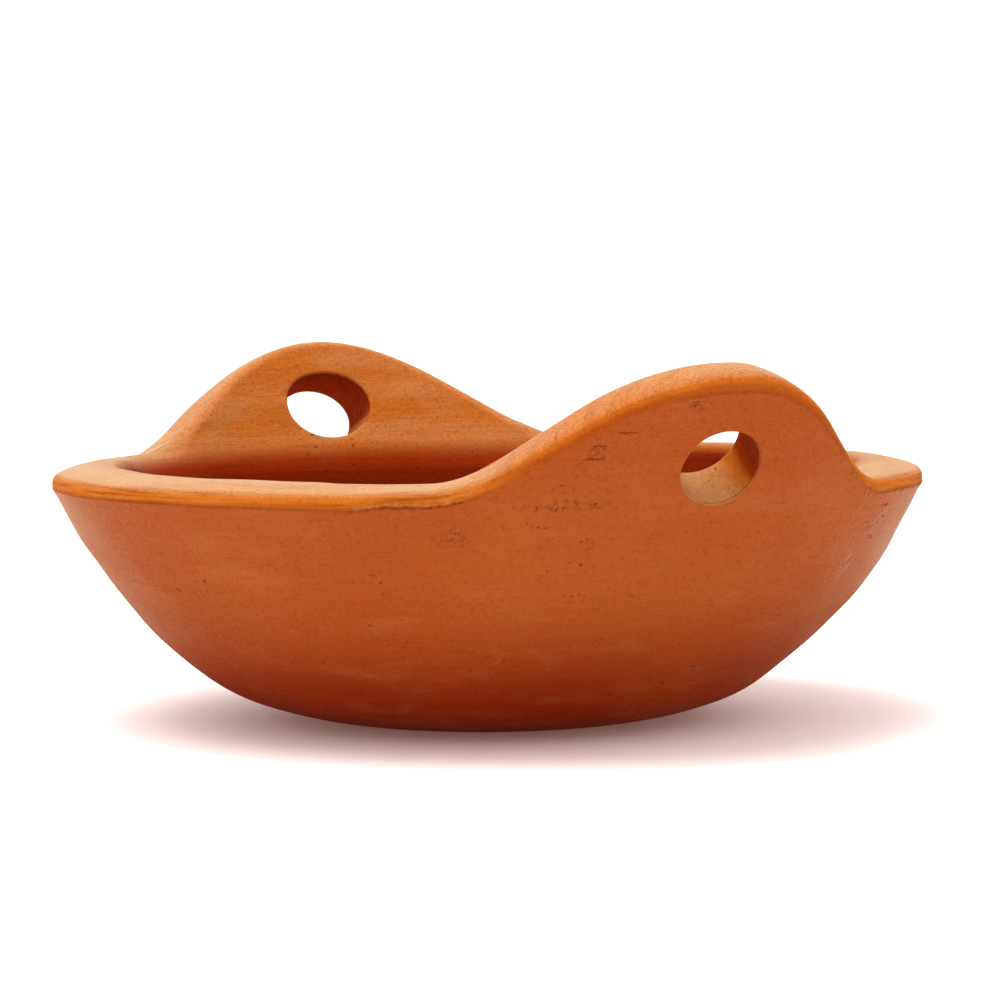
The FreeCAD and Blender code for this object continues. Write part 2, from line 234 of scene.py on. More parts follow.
def outer_radius(z):
    """Radius of the outside at a height, on the wall or on a lug."""
    on_wall = np.interp(z, OUTER_WALL[1:, 1], OUTER_WALL[1:, 0])
    return np.where(z < CREASE_HEIGHT, on_wall, face_radius(z - CREASE_HEIGHT))


def crease_point(angle):
    """Radius and height of the crease. It runs a little higher just before the front lug."""
    height = 0.955 * lug_rise(angle) + 1.1 * window(angle, -38.0, -31.0, 6.0)
    return face_radius(height) + flare(angle), CREASE_HEIGHT + height


def lip_softness(angle):
    """1 behind the lugs, where the inner face runs down into the bowl with no ledge, 0 well clear of them."""
    softness = np.zeros_like(np.asarray(angle, dtype=float))
    for lug in LUGS.values():
        before, after = lug["spans"]
        behind = window(angle, lug["crest"] - before + 2.0, lug["crest"] + after - 2.0, 20.0)
        softness = np.maximum(softness, behind)
    return softness


def mouth_height(angle):
    """Height at which the rounded lip runs into the straight mouth: lower behind the lugs."""
    return CREASE_HEIGHT - 7.0 * lip_softness(angle)


def top_height(angle, radius):
    """Height of the upper surface inside the apex line: crest round, inner face, soft corner, rim, lip."""
    rise = lug_rise(angle)
    apex_radius = crease_point(angle)[0] - BEVEL_WIDTH
    apex_height = CREASE_HEIGHT + RIM_RISE + rise
    rim_top = CREASE_HEIGHT + RIM_RISE
    ledge = apex_radius - (LUG_FOOT_RADIUS + rise * LEAN)
    slope = math.atan(LEAN)
    round_radius = ledge / (1 / math.cos(slope) - math.tan(slope))
    inward = np.clip(apex_radius - radius, 0, None)
    on_round = apex_height - round_radius + np.sqrt(np.clip(round_radius**2 - inward**2, 0, None))
    on_face = rim_top + (radius - LUG_FOOT_RADIUS) / LEAN
    lug = np.where(inward < round_radius * math.cos(slope), on_round, on_face)
    softened = lip_softness(angle)
    sag = 4.6 * softened * smooth((102.0 - radius) / 10.5)
    lip_round = LIP_ROUND + 2.0 * softened
    inset = np.clip(LIP_RADIUS + lip_round - radius, 0, lip_round)
    lip = lip_round - np.sqrt(lip_round**2 - inset**2)
    rim = rim_top - sag - lip
    lug += (rim - lug) * (1 - smooth(rise / 6.0)) * smooth((103.0 - radius) / 5.0)
    reach = np.maximum(np.minimum(7.0, 1.5 * rise), 1e-6)
    mix = np.clip(0.5 + 0.5 * (lug - rim) / reach, 0, 1)
    return rim * (1 - mix) + lug * mix + reach * mix * (1 - mix)


def coil_radii(angle):
    """Radii at the seam coil's top and foot. They are the same where there is no coil."""
    top = np.full_like(angle, LUG_FOOT_RADIUS)
    foot = np.full_like(angle, LUG_FOOT_RADIUS)
    for lug in LUGS.values():
        offset = np.abs(offset_from(angle, lug["centre"]))
        share = lug_share(angle, lug)
        fade = smooth((share - 0.10) / 0.25)
        under_hole = 1 - smooth((offset - 10.0) / 4.0)
        top += fade * (7.0 * LEAN * (1 - under_hole) - 1.6 * under_hole)
        foot -= fade * 3.2
    return top, foot


def resample(points, positions, targets):
    """Points at given distances along a polyline."""
    return np.stack([np.interp(targets, positions, points[:, k]) for k in range(2)], axis=1)


def row_fractions():
    """How the outer wall's rows are spread: closer together up the wall and closest at the crease."""
    length = along(OUTER_WALL)[-1]
    on_foot = np.linspace(0, 27, 7)
    on_turn = np.linspace(30, 74, 18)
    on_wall = np.linspace(76.2, length - 3.6, 41)
    near_crease = length - np.array([2.6, 1.8, 1.2, 0.75, 0.35, 0.0])
    return np.concatenate([on_foot, on_turn, on_wall, near_crease]) / length


def make_grid():
    """Radius, height and distance from the crease for every row and column."""
    radius = np.zeros((LAST + 1, COLUMNS))
    height = np.zeros((LAST + 1, COLUMNS))
    across = np.zeros((LAST + 1, COLUMNS))
    fractions = row_fractions()
    wall_positions = along(OUTER_WALL)
    coil_top, coil_foot = coil_radii(ANGLES)
    for column, angle in enumerate(ANGLES):
        rise = RISE[column]
        seam_height = CREASE_HEIGHT - seam_depth(angle)
        wall_end = np.interp(seam_height, OUTER_WALL[1:, 1], wall_positions[1:])
        wall = resample(OUTER_WALL, wall_positions, fractions * wall_end)
        crease_radius, crease_height = crease_point(angle)
        wall[:, 0] += flare(angle) * np.exp((wall[:, 1] - CREASE_HEIGHT) / 3.0)
        face_heights = np.linspace(seam_height, crease_height, SEAM_TO_CREASE + 1)[1:]
        face = np.stack([outer_radius(face_heights) + flare(angle), face_heights], axis=1)
        top_rise = RIM_RISE + CREASE_HEIGHT + rise - crease_height
        shoulder = shoulder_curve(angle) * [1.0, top_rise / RIM_RISE] + [crease_radius, crease_height]
        positions = along(shoulder)
        spread = np.linspace(0, 1, CREASE_TO_APEX + 1)[1:] ** 1.25
        shoulder = resample(shoulder, positions, spread * positions[-1])
        apex_radius = shoulder[-1, 0]
        turn = np.linspace(0, math.pi / 2, 500)
        radii = LIP_RADIUS + (apex_radius - LIP_RADIUS) * np.cos(turn)
        upper = np.stack([radii, top_height(np.full_like(radii, angle), radii)], axis=1)
        upper = np.vstack([upper, [LIP_RADIUS, mouth_height(angle)]])
        positions = along(upper)
        coil_edges = -coil_top[column], -coil_foot[column]
        stops = [np.interp(edge, -upper[:-1, 0], positions[:-1]) for edge in coil_edges]
        parts = [shoulder]
        start = 0.0
        for stop, rows in zip([*stops, positions[-1]], (APEX_TO_COIL, COIL, COIL_TO_MOUTH)):
            parts.append(resample(upper, positions, np.linspace(start, stop, rows + 1)[1:]))
            start = stop
        inner = np.vstack([[LIP_RADIUS, mouth_height(angle)], INNER_WALL])
        positions = along(inner)
        parts.append(resample(inner, positions, np.linspace(0, positions[-1], MOUTH_TO_FLOOR + 1)[1:]))
        section = np.vstack([wall, face, *parts])
        radius[:, column], height[:, column] = section.T
        distance = along(section)
        across[:, column] = distance - distance[CREASE]
    return radius, height, across


def to_xyz(angle, radius, height):
    turn = np.radians(angle)
    return np.stack([radius * np.sin(turn), -radius * np.cos(turn), height + 0 * radius], axis=-1)


def patch_perimeter():
    """Column and upward steps round a finger hole's patch, once round from its lower left corner."""
    width, tall = 2 * PATCH_COLUMNS, PATCH_ROWS
    path = [(c, 0) for c in range(width)]
    path += [(width, k) for k in range(tall)]
    path += [(width - c, tall) for c in range(width)]
    path += [(0, tall - k) for k in range(tall)]
    return np.array(path)


def oval(lug, hole, turn):
    """Angle and height of points on a finger hole's oval on one face of its lug."""
    angle = lug["centre"] + hole["turn"] + hole["half_turn"] * np.cos(turn)
    height = CREASE_HEIGHT + hole["height"] + hole["half_height"] * np.sin(turn)
    return angle, height


ROUND_OUTER_EDGE = 0.55  # how far a finger hole's rounded edge reaches on the outer face
ROUND_INNER_EDGE = 1.0  # the same on the inner face
HOLE_FACE_RADIUS = 108.0  # turns a distance along a lug's face into degrees
TUNNEL_LENGTH = 14.0  # roughly, through a lug
OUTER_EDGE_MARK = -6.0  # stands for the distance from the crease round a hole's outer edge
INNER_EDGE_MARK = 30.0
EDGE_STEPS = (0.25, 0.5, 0.75, 1.0)


def rounded(start, corner, end, t):
    """A point on the curve that rounds a corner."""
    return (1 - t) ** 2 * start + 2 * t * (1 - t) * corner + t**2 * end


def make_hole(lug, centre_column, radius, height, across):
    """Rings of points from the outer face's patch, through the tunnel, to the inner face's patch."""
    path = patch_perimeter()
    columns = (centre_column - PATCH_COLUMNS + path[:, 0]) % COLUMNS
    outer_rows = SEAM + 2 + path[:, 1]
    inner_rows = COIL_TOP - 1 - path[:, 1]
    centre = lug["centre"]
    outer_hole, inner_hole = lug["outer_hole"], lug["inner_hole"]
    angles = centre + offset_from(ANGLES[columns], centre)
    outer_heights = height[outer_rows, columns]
    turn = np.arctan2(
        (outer_heights - CREASE_HEIGHT - outer_hole["height"]) / outer_hole["half_height"],
        (angles - centre - outer_hole["turn"]) / outer_hole["half_turn"],
    )
    turn = np.unwrap(turn)

    def widened(hole, by):
        """The hole's oval, wider all round by a distance along the face."""
        grown = dict(hole)
        grown["half_turn"] = hole["half_turn"] + math.degrees(by / HOLE_FACE_RADIUS)
        grown["half_height"] = hole["half_height"] + 0.9 * by
        return grown

    def inner_radius_at(height):
        return LUG_FOOT_RADIUS + (height - CREASE_HEIGHT - RIM_RISE) * LEAN

    def tunnel(share_out, share_in, widen):
        """Points on the way from the outer oval to the inner one, on the tunnel's straight lines."""
        a0, h0 = oval(lug, widened(outer_hole, widen), turn)
        a1, h1 = oval(lug, widened(inner_hole, widen), turn)
        p0 = np.stack([a0, outer_radius(h0), h0])
        p1 = np.stack([a1, inner_radius_at(h1), h1])
        return p0 * share_out + p1 * share_in

    def surfacing(widen):
        """Where the tunnel's lines come out of the inner face."""
        steps = np.linspace(0.5, 1.4, 181)
        track = np.stack([tunnel(1 - s, s, widen) for s in steps])
        above = track[:, 2] - top_height(track[:, 0], track[:, 1])
        index = np.argmax(above > 0, axis=0)
        index = np.clip(index, 1, None)
        picked = np.arange(above.shape[1])
        low, high = above[index - 1, picked], above[index, picked]
        mix = -low / (high - low)
        return steps[index - 1] + mix * (steps[index] - steps[index - 1])

    rings = []
    a0, h0 = oval(lug, widened(outer_hole, ROUND_OUTER_EDGE), turn)
    for ring in range(1, PATCH_RINGS + 1):
        mix = ring / PATCH_RINGS
        a = angles + (a0 - angles) * mix
        h = outer_heights + (h0 - outer_heights) * mix
        rings.append((to_xyz(a, outer_radius(h), h), np.full(len(a), OUTER_EDGE_MARK)))
    start = np.stack([a0, outer_radius(h0), h0])
    corner = tunnel(1.0, 0.0, 0.0)
    edge_share = ROUND_OUTER_EDGE / TUNNEL_LENGTH
    inside = tunnel(1 - edge_share, edge_share, 0.0)
    for t in EDGE_STEPS:
        rings.append((to_xyz(*rounded(start, corner, inside, t)), np.full(len(a0), OUTER_EDGE_MARK)))

    in_tunnel = np.full(len(a0), TUNNEL_MARK)
    out = surfacing(0.0)
    wide = surfacing(ROUND_INNER_EDGE)
    for s in np.linspace(0, 1, 14)[1:-1]:
        share = 0.04 + (out - 0.11) * s
        rings.append((to_xyz(*tunnel(1 - share, share, 0.0)), in_tunnel))
    inside = tunnel(1 - (out - 0.07), out - 0.07, 0.0)
    corner = tunnel(1 - out, out, 0.0)
    end = tunnel(1 - wide, wide, ROUND_INNER_EDGE)
    end[2] = top_height(end[0], end[1])
    for t in (0.0, *EDGE_STEPS):
        marks = in_tunnel if t < 0.5 else np.full(len(a0), INNER_EDGE_MARK)
        rings.append((to_xyz(*rounded(inside, corner, end, t)), marks))
    inner_radii = radius[inner_rows, columns]
    inner_across = across[inner_rows, columns]
    for ring in range(1, PATCH_RINGS):
        mix = ring / PATCH_RINGS
        a = end[0] + (angles - end[0]) * mix
        r = end[1] + (inner_radii - end[1]) * mix
        marks = INNER_EDGE_MARK + (inner_across - INNER_EDGE_MARK) * mix
        rings.append((to_xyz(a, r, top_height(a, r)), marks))
    return columns, outer_rows, inner_rows, rings


class Surface:
    """All points of the pot's surface, and each piece's faces by point number."""

    def __init__(self):
        self.radius, self.height, self.across = make_grid()
        angle = np.broadcast_to(ANGLES, self.radius.shape)
        self.points = [to_xyz(angle, self.radius, self.height).reshape(-1, 3)]
        self.marks = [self.across.reshape(-1)]
        self.count = self.radius.size
        self.faces = {}

    def grid(self, row, column):
        return row * COLUMNS + column % COLUMNS

    def add_points(self, points, marks):
        first = self.count
        self.points.append(points)
        self.marks.append(marks)
        self.count += len(points)
        return np.arange(first, self.count)

    def add_quads(self, piece, a, b, c, d):
        quads = np.stack([np.ravel(v) for v in (a, b, c, d)], axis=1)
        self.faces.setdefault(piece, []).append(quads)

    def add_rows(self, piece, first_row, last_row, columns, skip=None):
        """Faces between two rows and over some columns. skip is a block left out for a finger hole."""
        rows = np.arange(first_row, last_row)
        row, column = np.meshgrid(rows, columns, indexing="ij")
        keep = np.ones(row.shape, bool)
        for low, high, start, width in skip or []:
            inside_columns = (column - start) % COLUMNS < width
            keep &= ~((row >= low) & (row < high) & inside_columns)
        row, column = row[keep], column[keep]
        self.add_quads(
            piece,
            self.grid(row, column),
            self.grid(row, column + 1),
            self.grid(row + 1, column + 1),
            self.grid(row + 1, column),
        )


def split_surface():
    """Builds the surface and deals its faces out to the six pieces."""
    surface = Surface()
    everywhere = np.arange(COLUMNS)
    surface.add_rows("shell_clay", 0, SEAM, everywhere)
    surface.add_rows("shell_clay", MOUTH, LAST, everywhere)
    in_a_lug = np.zeros(COLUMNS, bool)
    for side, (first, last, centre_column) in ZONES.items():
        zone = np.arange(first, last)
        in_a_lug[zone] = True
        lug = LUGS[side]
        handle = f"{side}_handle_clay"
        columns, outer_rows, inner_rows, rings = make_hole(
            lug, centre_column, surface.radius, surface.height, surface.across
        )
        start = centre_column - PATCH_COLUMNS
        width = 2 * PATCH_COLUMNS
        low_outer = SEAM + 2
        low_inner = COIL_TOP - 1 - PATCH_ROWS
        skip = [
            (low_outer, low_outer + PATCH_ROWS, start, width),
            (low_inner, low_inner + PATCH_ROWS, start, width),
        ]
        surface.add_rows(handle, SEAM, COIL_TOP, zone, skip)
        surface.add_rows(f"{side}_coil_clay", COIL_TOP, COIL_FOOT, zone)
        surface.add_rows("rim_clay", COIL_FOOT, MOUTH, zone)
        previous = surface.grid(outer_rows, columns)
        for points, marks in rings:
            ring = surface.add_points(points, marks)
            surface.add_quads(handle, previous, np.roll(previous, -1), np.roll(ring, -1), ring)
            previous = ring
        last_ring = surface.grid(inner_rows, columns)
        surface.add_quads(handle, previous, np.roll(previous, -1), np.roll(last_ring, -1), last_ring)
    surface.add_rows("rim_clay", SEAM, MOUTH, everywhere[~in_a_lug])
    return surface


def vertex_normals(points, quads):
    """Area-weighted normals of the whole surface."""
    a, b, c, d = (points[quads[:, k]] for k in range(4))
    face = np.cross(c - a, d - b)
    normals = np.zeros_like(points)
    for k in range(4):
        np.add.at(normals, quads[:, k], face)
    length = np.linalg.norm(normals, axis=1, keepdims=True)
    return normals / np.maximum(length, 1e-12)


def weld(points, tolerance=1e-4):
    """A number for each distinct place, so that points in the same place share it."""
    keys = np.round(points / tolerance).astype(np.int64)
    _, number = np.unique(keys, axis=0, return_inverse=True)
    return number.ravel()


def roughness(along_rim, pitch):
    """An uneven wave about 1 high along the rim, in millimetres, with a typical pitch."""
    total = 0.0
    for factor in (0.61, 1.0, 1.47, 2.3):
        total = total + math.sqrt(0.5) * np.sin(2 * math.pi * along_rim / (pitch * factor) + 9.0 * factor)
    return total / 1.6


# The bowl's wall sways to one side and back as it goes up, and swells a little in waves round it.
SWAY = 0.45
SWAY_PITCH = 37.0
SWAY_DIRECTION = math.radians(63.35)
SWELLS = [  # size, waves round the bowl, radians per millimetre of height, start
    (0.10, 5, 0.06, 0.4),
    (0.08, 11, -0.11, 2.0),
    (0.05, 23, 0.20, 1.1),
    (0.05, 3, 0.55, 0.0),
]
DEGREE_OF_RIM = 1.92  # millimetres along the rim in a degree


def handmade(points, normals, across):
    """Moves the surface a little, as hands and a wheel leave it."""
    x, y, z = points.T
    turn = np.arctan2(x, -y)
    fade = 1 - smooth((z - 40.0) / 20.0)
    sway = SWAY * np.cos(2 * math.pi * z / SWAY_PITCH) * fade
    moved = points.copy()
    moved[:, 0] += sway * math.sin(SWAY_DIRECTION)
    moved[:, 1] -= sway * math.cos(SWAY_DIRECTION)
    swell = sum(size * np.sin(waves * turn + climb * z + start) for size, waves, climb, start in SWELLS)
    swell *= smooth(z / 12.0)
    angle = np.degrees(turn)
    on_crease = np.exp(-((across / 0.8) ** 2))
    chipped = 0.05 + 0.34 * window(angle, -45.0, -30.0, 4.0) + 0.15 * window(angle, 40.0, 56.0, 4.0)
    swell += on_crease * chipped * roughness(angle * DEGREE_OF_RIM, 2.6)
    return moved + normals * swell[:, None]


def hidden_core(surface, points):
    """Points inside the clay that the pieces' hidden faces run through."""
    core_height = CREASE_HEIGHT - seam_depth(ANGLES)
    core = surface.add_points(to_xyz(ANGLES, np.full(COLUMNS, 99.0), core_height), np.zeros(COLUMNS))
    top = points[surface.grid(COIL_TOP, np.arange(COLUMNS))]
    foot = points[surface.grid(COIL_FOOT, np.arange(COLUMNS))]
    outward = to_xyz(ANGLES, np.ones(COLUMNS), 0.0)
    chord = top - foot
    chord_out = np.sum(chord * outward, axis=1)
    inward = chord[:, 2:] * outward
    inward[:, 2] -= chord_out
    middle = (top + foot) / 2 + 0.4 * inward
    return core, surface.add_points(middle, np.zeros(COLUMNS))


def close_pieces(surface, core, middle):
    """Adds each piece's hidden faces. Returns them by piece."""
    hidden = {}

    def strip(piece, first, second, columns):
        following = (columns + 1) % COLUMNS
        corners = [first[columns], first[following], second[following], second[columns]]
        hidden.setdefault(piece, []).append(np.stack(corners, axis=1))

    def line(row):
        return surface.grid(row, np.arange(COLUMNS))

    everywhere = np.arange(COLUMNS)
    strip("shell_clay", line(SEAM), core, everywhere)
    strip("shell_clay", core, line(MOUTH), everywhere)
    in_a_lug = np.zeros(COLUMNS, bool)
    for side, (first, last, _) in ZONES.items():
        zone = np.arange(first, last)
        in_a_lug[zone] = True
        handle, coil = f"{side}_handle_clay", f"{side}_coil_clay"
        for piece, start, end in (
            (handle, line(COIL_TOP), middle),
            (handle, middle, core),
            (handle, core, line(SEAM)),
            (coil, line(COIL_FOOT), middle),
            (coil, middle, line(COIL_TOP)),
            ("rim_clay", line(MOUTH), core),
            ("rim_clay", core, middle),
            ("rim_clay", middle, line(COIL_FOOT)),
        ):
            strip(piece, start, end, zone)
        for column in (first, last):
            rows = np.arange(SEAM, COIL_TOP)
            start, end = surface.grid(rows, column), surface.grid(rows + 1, column)
            centre = np.full(len(rows), core[column % COLUMNS])
            cap = np.stack([start, end, centre, centre], axis=1)
            flip = cap[:, ::-1]
            hidden[handle].append(flip if column == last else cap)
            hidden["rim_clay"].append(cap if column == last else flip)
    rim = everywhere[~in_a_lug]
    strip("rim_clay", line(MOUTH), core, rim)
    strip("rim_clay", core, line(SEAM), rim)
    return hidden


def make_object(name, points, marks, seen, hidden):
    """A closed mesh object from quads over shared point numbers. Collapsed corners are dropped."""
    quads = np.vstack([seen, hidden])
    is_hidden = np.concatenate([np.zeros(len(seen), bool), np.ones(len(hidden), bool)])
    used, quads = np.unique(quads, return_inverse=True)
    quads = quads.reshape(-1, 4)
    faces, flags = [], []
    for quad, flag in zip(quads.tolist(), is_hidden):
        corners = [v for k, v in enumerate(quad) if v != quad[k - 1]]
        if len(set(corners)) == len(corners) and len(corners) > 2:
            faces.append(corners)
            flags.append(bool(flag))
    mesh = bpy.data.meshes.new(name)
    mesh.from_pydata((points[used] * MM).tolist(), [], faces)
    across = mesh.attributes.new("across", "FLOAT", "POINT")
    across.data.foreach_set("value", marks[used].astype(np.float32))
    flags = np.array(flags)
    mesh.polygons.foreach_set("use_smooth", ~flags)
    edge_faces = {}
    for polygon, flag in zip(mesh.polygons, flags):
        for key in polygon.edge_keys:
            edge_faces.setdefault(key, []).append(flag)
    sharp = mesh.attributes.new("sharp_edge", "BOOLEAN", "EDGE")
    keys = [tuple(sorted(edge.vertices)) for edge in mesh.edges]
    sharp.data.foreach_set("value", [any(edge_faces[k]) and not all(edge_faces[k]) for k in keys])
    mesh.update()
    obj = bpy.data.objects.new(name, mesh)
    bpy.context.scene.collection.objects.link(obj)
    return obj


def build_pot():
    """The six closed pieces, by name. Points in the same place share one number."""
    surface = split_surface()
    points = np.vstack(surface.points)
    marks = np.concatenate(surface.marks)
    number = weld(points)
    _, first = np.unique(number, return_index=True)
    seen = {piece: number[np.vstack(quads)] for piece, quads in surface.faces.items()}
    places = points[first]
    normals = vertex_normals(places, np.vstack(list(seen.values())))
    moved = handmade(places, normals, marks[first])
    surface.points = [moved[number]]
    core, middle = hidden_core(surface, moved[number])
    hidden = close_pieces(surface, core, middle)
    points = np.vstack(surface.points)
    marks = np.concatenate([marks, np.zeros(len(points) - len(marks))])
    number = weld(points)
    _, first = np.unique(number, return_index=True)
    places, marks = points[first], marks[first]
    objects = {}
    for piece, quads in surface.faces.items():
        showing = number[np.vstack(quads)]
        closing = number[np.vstack(hidden[piece])]
        objects[piece] = make_object(piece, places, marks, showing, closing)
    return objects


# Materials

class Nodes:
    """Short ways to add and join shader nodes."""

    def __init__(self, tree):
        self.tree = tree
        tree.nodes.clear()

    def add(self, kind, inputs=None, **settings):
        node = self.tree.nodes.new(kind)
        for key, value in settings.items():
            setattr(node, key, value)
        for key, value in (inputs or {}).items():
            self.feed(node.inputs[key], value)
        return node

    def feed(self, socket, value):
        if isinstance(value, bpy.types.NodeSocket):
            self.tree.links.new(value, socket)
        else:
            socket.default_value = value

    def math(self, operation, a, b=0.0, c=0.0):
        node = self.add("ShaderNodeMath", {0: a, 1: b, 2: c}, operation=operation)
        return node.outputs[0]

    def product(self, first, *others):
        """All the values multiplied together."""
        for other in others:
            first = self.math("MULTIPLY", first, other)
        return first

    def vector(self, operation, a, b=(0.0, 0.0, 0.0), output="Vector"):
        node = self.add("ShaderNodeVectorMath", {0: a, 1: b}, operation=operation)
        return node.outputs[output]

    def ramp(self, value, low, high, to_low=0.0, to_high=1.0):
        """A smooth step between two values."""
        node = self.add(
            "ShaderNodeMapRange",
            {"Value": value, "From Min": low, "From Max": high, "To Min": to_low, "To Max": to_high},
            interpolation_type="SMOOTHSTEP",
        )
        return node.outputs["Result"]

    def noise(self, vector, scale, detail=2.0, roughness=0.5):
        inputs = {"Vector": vector, "Scale": scale, "Detail": detail, "Roughness": roughness}
        return self.add("ShaderNodeTexNoise", inputs).outputs["Fac"]

    def mix(self, factor, a, b):
        node = self.add("ShaderNodeMix", None, data_type="RGBA")
        self.feed(node.inputs["Factor"], factor)
        self.feed(node.inputs[6], a)
        self.feed(node.inputs[7], b)
        return node.outputs[2]

    def bump(self, height, distance):
        inputs = {"Height": height, "Distance": distance, "Strength": 1.0}
        return self.add("ShaderNodeBump", inputs).outputs["Normal"]


WALL_COLOUR = (0.315, 0.068, 0.0095, 1.0)
# Darker red-brown towards the foot: painted shade under the bowl.
LOW_SHADE_COLOUR = (0.20, 0.010, 0.0002, 1.0)
RED_COLOUR = (0.285, 0.046, 0.0040, 1.0)
ORANGE_COLOUR = (0.460, 0.118, 0.0090, 1.0)
PALE_COLOUR = (0.445, 0.178, 0.060, 1.0)
# The pale peach put on what faces up and on the finger holes' floors is painted light; on the scuffs it is
# worn clay.
PAINTED_LIGHT_AND_SCUFF_COLOUR = (0.485, 0.245, 0.096, 1.0)
# Deep red put inside the bowl and on the finger holes' roofs and walls: painted shade.
INSIDE_SHADE_COLOUR = (0.215, 0.013, 0.0003, 1.0)
# Dark line along the crease under the rim: painted shade in the crease.
CREASE_SHADE_COLOUR = (0.21, 0.035, 0.0030, 1.0)
DARK_COLOUR = (0.10, 0.015, 0.0020, 1.0)

# Worn places on the outside: degrees round, then height, half width and half height in millimetres.
PITTED = [
    (-31, 54, 5, 3),  # under the rim, before the near lug
    (-14, 73, 3.5, 2.5),  # left of the near finger hole
    (-18, 65, 3.5, 1.5),  # below that
    (-17, 61, 15, 1.8),  # the long rough streak at the crease's level
    (-14, 52, 2.5, 2),  # under the streak
    (-3, 84, 4, 1.5),  # above the near finger hole
    (37, 52, 3.5, 8),  # the right end of the wall, high
    (33, 42, 3.5, 8),  # the right end of the wall, low
]
SCUFFED = [
    (37, 53, 4, 9),
    (33, 43, 4, 9),
    (-26, 25, 4.5, 4),
]
SCRATCHES = [
    (-11, 78, 3, 0.28),
    (-14, 75, 2.2, 0.25),
    (-15, 72, 2, 0.22),
    (36, 57, 2.5, 0.3),
]
SPOT_DRIFT = 0.0006  # metres: the middle of the offset that shakes the spots' edges
RELIEF_DEPTH = 0.00025  # metres of bump for a height of 1


class Place:
    """Where a point of the clay is, and which way it faces. Lengths are metres, but across is millimetres."""

    def __init__(self, n):
        self.n = n
        self.position = n.add("ShaderNodeTexCoord").outputs["Object"]
        x, y, self.z = n.add("ShaderNodeSeparateXYZ", {0: self.position}).outputs
        normal = n.add("ShaderNodeNewGeometry").outputs["Normal"]
        self.up = n.add("ShaderNodeSeparateXYZ", {0: normal}).outputs[2]
        self.across = n.add("ShaderNodeAttribute", None, attribute_name="across").outputs["Fac"]
        flat = n.add("ShaderNodeCombineXYZ", {0: x, 1: y}).outputs[0]
        self.radius = n.vector("LENGTH", flat, output="Value")
        self.around_x = n.math("DIVIDE", x, self.radius)
        self.around_y = n.math("DIVIDE", y, self.radius)
        self.slant = n.math("ADD", self.z, n.product(self.radius, 0.8))

    def drawn_out(self, stretch, sideways=None):
        """A place whose patterns come out longer round the bowl than across it, by a factor."""
        reach = RIM_RADIUS * MM / stretch
        inputs = {0: self.n.product(self.around_x, reach), 1: self.n.product(self.around_y, reach)}
        inputs[2] = self.slant if sideways is None else sideways
        return self.n.add("ShaderNodeCombineXYZ", inputs).outputs[0]


class Grain:
    """The clay's patterns, from broad mottling to fine grit, and the lines that the wheel leaves."""

    def __init__(self, n, at):
        self.mottle = n.noise(at.position, 22.0, 3.0, 0.55)
        self.patches = n.noise(at.drawn_out(2.5), 90.0, 4.0, 0.6)
        self.speckle = n.noise(at.position, 800.0, 3.0, 0.7)
        self.fine = n.noise(at.position, 2200.0, 2.0, 0.6)
        self.ridges = n.noise(at.position, 170.0, 3.0, 0.6)
        self.broad_lines = n.noise(at.drawn_out(14.0), 330.0, 4.0, 0.6)
        self.fine_lines = n.noise(at.drawn_out(24.0), 1500.0, 2.0, 0.6)
        from_crease = n.product(at.across, MM)
        self.band_lines = n.noise(at.drawn_out(30.0, from_crease), 1150.0, 3.0, 0.65)


class Zones:
    """Masks, each about 1 in one part of the pot and falling to 0, or nearly, elsewhere."""

    def __init__(self, n, at):
        self.upper = n.ramp(at.across, 0.0, 0.3)
        self.on_band = n.product(self.upper, n.ramp(at.across, 2.8, 5.2, 1.0, 0.0))
        self.tooled = n.product(self.on_band, n.ramp(at.z, 0.066, 0.072, 1.0, 0.15))
        # inside: where the bowl's inside is painted in shade.
        self.in_tunnel = n.ramp(at.across, 100.0, 250.0)
        self.inside = n.product(
            n.ramp(at.across, 6.0, 9.0),
            n.ramp(at.radius, 0.1005, 0.0955),
            n.ramp(at.z, 0.0680, 0.0605),
        )
        self.inner_face = n.product(
            n.ramp(at.across, 10.0, 14.0),
            n.ramp(at.up, 0.45, 0.7, 1.0, 0.0),
            n.ramp(at.across, 60.0, 90.0, 1.0, 0.0),
        )
        in_front = n.ramp(at.around_y, -0.2, -0.1, 1.0, 0.0)
        self.soft_crease = n.product(
            n.ramp(at.around_x, -0.50, -0.42),
            n.ramp(at.around_x, -0.15, -0.05, 1.0, 0.0),
            in_front,
        )
        self.chipped = n.product(
            n.ramp(at.around_x, -0.72, -0.64),
            n.ramp(at.around_x, -0.50, -0.46, 1.0, 0.0),
            in_front,
        )


